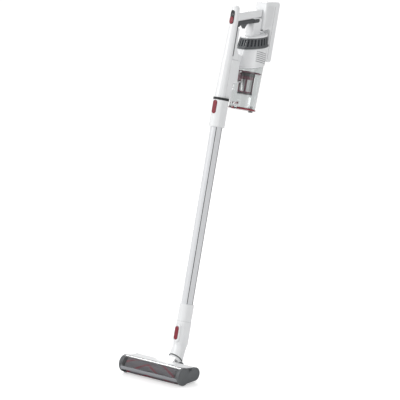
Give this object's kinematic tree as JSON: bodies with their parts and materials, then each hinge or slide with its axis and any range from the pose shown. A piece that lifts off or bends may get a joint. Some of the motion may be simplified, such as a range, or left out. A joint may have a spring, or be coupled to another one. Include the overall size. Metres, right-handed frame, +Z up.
{
  "type": "cordless stick vacuum",
  "caption": "Cordless stick vacuum leaning in use: floor head with clear brush window, swivel neck, long wand, handheld unit with clear dust bin, vent crown, loop handle and rear battery",
  "frame": {"origin": "on the floor, at the middle of the felt strip under the floor head", "axes": "+Z up; -Y is the front of the floor head; +X is the cleaner's width, to the right of a user who stands behind it; the wand leans back towards +Y"},
  "size_m": [0.25, 0.6293, 1.1382],
  "materials": {
    "white_gloss": "moulded, high gloss",
    "dark_grey": "fine satin grain",
    "red_gloss": "satin gloss",
    "tube_white": "satin painted extrusion",
    "clear": "clear moulded plastic",
    "smoke_window": "grey tinted clear plastic",
    "cyclone_purple": "translucent moulding",
    "steel_mesh": "fine perforated sheet",
    "steel": "turned",
    "rubber": "matte",
    "filter_cloth": "pleated fibre",
    "nap": "soft fibre with bristle rows",
    "felt": "felt",
    "board": "solder mask",
    "lamp": "lit diode",
    "cell_wrap": "shrink wrap",
    "bellows": "flexible"
  },
  "bodies": {
    "handheld": {"spine_tube": "white_gloss", "control_board": "board", "inlet_spigot": "dark_grey", "joint_gasket": "rubber", "duct_panel": "white_gloss", "upper_bracket": "white_gloss", "handle_bar": "white_gloss", "grip_insert": "dark_grey", "rear_column": "white_gloss", "motor_housing": "white_gloss", "vent_crown": "dark_grey", "exhaust_filter": "filter_cloth", "motor_top": "white_gloss", "loop_pad": "dark_grey", "suction_motor": "steel", "motor_seal": "rubber", "housing_screws": "steel"},
    "trigger": {"trigger": "dark_grey"},
    "power_slider": {"power_slider": "red_gloss"},
    "impeller": {"impeller": "dark_grey"},
    "bin": {"bin_cup": "clear", "cyclone_plate": "cyclone_purple", "cyclone_cage": "cyclone_purple", "cyclone_mesh": "steel_mesh", "cartridge_filter": "filter_cloth", "hinge_bracket": "clear", "door_pin": "dark_grey"},
    "bin_door": {"bin_door": "red_gloss"},
    "door_latch": {"door_latch": "dark_grey"},
    "inlet_flap": {"inlet_flap": "cyclone_purple"},
    "bin_release": {"bin_release": "clear"},
    "battery": {"battery_case": "white_gloss", "battery_cells": "cell_wrap", "charge_socket": "steel"},
    "battery_button": {"battery_button": "red_gloss"},
    "wand": {"wand_tube": "tube_white", "wand_high_collar": "white_gloss", "wand_low_collar": "white_gloss", "wand_spring": "steel"},
    "wand_button": {"wand_button": "red_gloss"},
    "neck": {"neck_shell": "white_gloss"},
    "neck_button": {"neck_button": "red_gloss"},
    "yoke": {"swivel_yoke": "white_gloss", "swivel_ring": "dark_grey", "flex_hose": "bellows"},
    "head": {"head_cover": "white_gloss", "head_base": "dark_grey", "brush_window": "smoke_window", "light_lens": "smoke_window", "lights": "lamp", "left_cap": "dark_grey", "brush_motor": "dark_grey", "drive_belt": "rubber", "felt_strip": "felt", "pitch_pins": "steel"},
    "right_cap": {"right_cap": "dark_grey"},
    "brush_roll": {"brush_core": "dark_grey", "brush_nap": "nap"},
    "motor_pulley": {"motor_pulley": "steel"},
    "rear_wheels": {"rear_wheels": "dark_grey"}
  },
  "joints": [
    {"name": "trigger_pull", "type": "hinge", "parent": "handheld", "child": "trigger", "pos_m": [0, 0.41426, 1.07956], "axis": [-1, 0, 0], "range_deg": [0, 8], "stiffness_Nm_per_rad": 0.08, "springref_deg": -8.59},
    {"name": "power_switch", "type": "slide", "parent": "handheld", "child": "power_slider", "axis": [0, 0.2554, 0.9668], "range_m": [0, 0.01]},
    {"name": "impeller_spin", "type": "hinge", "parent": "handheld", "child": "impeller", "pos_m": [0, 0.43515, 0.97268], "axis": [0, 0.2554, 0.9668], "continuous": true},
    {"name": "bin_slide", "type": "slide", "parent": "handheld", "child": "bin", "axis": [0, -0.2554, -0.9668], "range_m": [0, 0.15]},
    {"name": "bin_door_hinge", "type": "hinge", "parent": "bin", "child": "bin_door", "pos_m": [0, 0.34503, 0.81362], "axis": [-1, 0, 0], "range_deg": [0, 90]},
    {"name": "door_latch_pivot", "type": "hinge", "parent": "bin", "child": "door_latch", "pos_m": [0, 0.43961, 0.80084], "axis": [1, 0, 0], "range_deg": [0, 18], "stiffness_Nm_per_rad": 0.03, "springref_deg": -5.73},
    {"name": "inlet_flap_hinge", "type": "hinge", "parent": "bin", "child": "inlet_flap", "pos_m": [0, 0.38142, 0.91964], "axis": [1, 0, 0], "range_deg": [0, 24], "stiffness_Nm_per_rad": 0.005, "springref_deg": -11.46},
    {"name": "bin_release_slide", "type": "slide", "parent": "handheld", "child": "bin_release", "axis": [0, -0.2554, -0.9668], "range_m": [0, 0.004], "stiffness_N_per_m": 400, "springref_m": -0.001},
    {"name": "battery_slide", "type": "slide", "parent": "handheld", "child": "battery", "axis": [0, 0.2554, 0.9668], "range_m": [0, 0.12]},
    {"name": "battery_button_press", "type": "slide", "parent": "battery", "child": "battery_button", "axis": [0, -0.9668, 0.2554], "range_m": [0, 0.0015], "stiffness_N_per_m": 600, "springref_m": -0.001},
    {"name": "wand_slide", "type": "slide", "parent": "handheld", "child": "wand", "axis": [0, -0.2554, -0.9668], "range_m": [0, 0.06]},
    {"name": "wand_button_press", "type": "slide", "parent": "wand", "child": "wand_button", "axis": [0, 0.9668, -0.2554], "range_m": [0, 0.0022], "stiffness_N_per_m": 600, "springref_m": -0.001},
    {"name": "neck_slide", "type": "slide", "parent": "wand", "child": "neck", "axis": [0, -0.2554, -0.9668], "range_m": [0, 0.055]},
    {"name": "neck_button_press", "type": "slide", "parent": "neck", "child": "neck_button", "axis": [0, 0.9668, -0.2554], "range_m": [0, 0.0018], "stiffness_N_per_m": 600, "springref_m": -0.001},
    {"name": "neck_swivel", "type": "hinge", "parent": "neck", "child": "yoke", "pos_m": [0, 0.063, 0.045], "axis": [0, 0.766, 0.6428], "range_deg": [-75, 75]},
    {"name": "neck_pitch", "type": "hinge", "parent": "yoke", "child": "head", "pos_m": [0, 0.058, 0.027], "axis": [1, 0, 0], "range_deg": [-5, 65]},
    {"name": "right_cap_pull", "type": "slide", "parent": "head", "child": "right_cap", "axis": [1, 0, 0], "range_m": [0, 0.03]},
    {"name": "brush_spin", "type": "hinge", "parent": "head", "child": "brush_roll", "pos_m": [0, -0.042, 0.0258], "axis": [1, 0, 0], "continuous": true},
    {"name": "motor_spin", "type": "hinge", "parent": "head", "child": "motor_pulley", "pos_m": [0, 0.006, 0.027], "axis": [1, 0, 0], "continuous": true},
    {"name": "wheel_spin", "type": "hinge", "parent": "head", "child": "rear_wheels", "pos_m": [0, 0.018, 0.011], "axis": [1, 0, 0], "continuous": true}
  ],
  "couplings": [
    {"joint": "motor_spin", "follows": "brush_spin", "ratio": 1.8}
  ]
}
